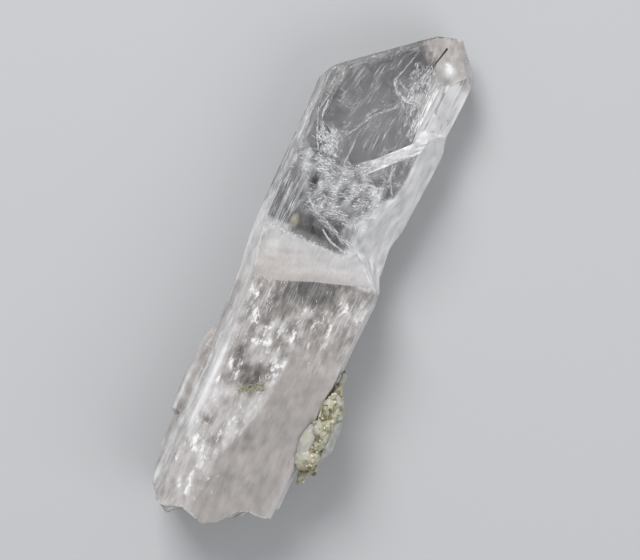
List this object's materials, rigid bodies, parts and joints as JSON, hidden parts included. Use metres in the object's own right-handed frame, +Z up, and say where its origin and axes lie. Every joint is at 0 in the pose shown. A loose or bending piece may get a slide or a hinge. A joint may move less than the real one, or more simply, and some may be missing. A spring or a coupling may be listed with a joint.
{
  "type": "danburite crystal",
  "caption": "Long striated clear-to-milky mineral crystal with stepped parallel growth, a chisel tip, a broken base and a grainy mineral crust, lying on its flat back face.",
  "frame": {"origin": "on the flat back face that the crystal lies on, half way along its length and on its long axis", "axes": "+Y along the long axis from the broken base to the tip, +Z up from the back face to the front face, +X across the crystal toward the side with the crust"},
  "size_m": [0.024, 0.078, 0.0148],
  "materials": {
    "danburite": "clear and milky natural crystal, striated along its length, frosted on the ledges",
    "crust": "rough beige-gold mineral grains with olive-brown pits",
    "calcite": "waxy pale grey translucent crystal"
  },
  "bodies": {
    "root": {"danburite_crystal": "danburite", "matrix_crust": "crust", "crust_crystal": "calcite"}
  },
  "joints": []
}
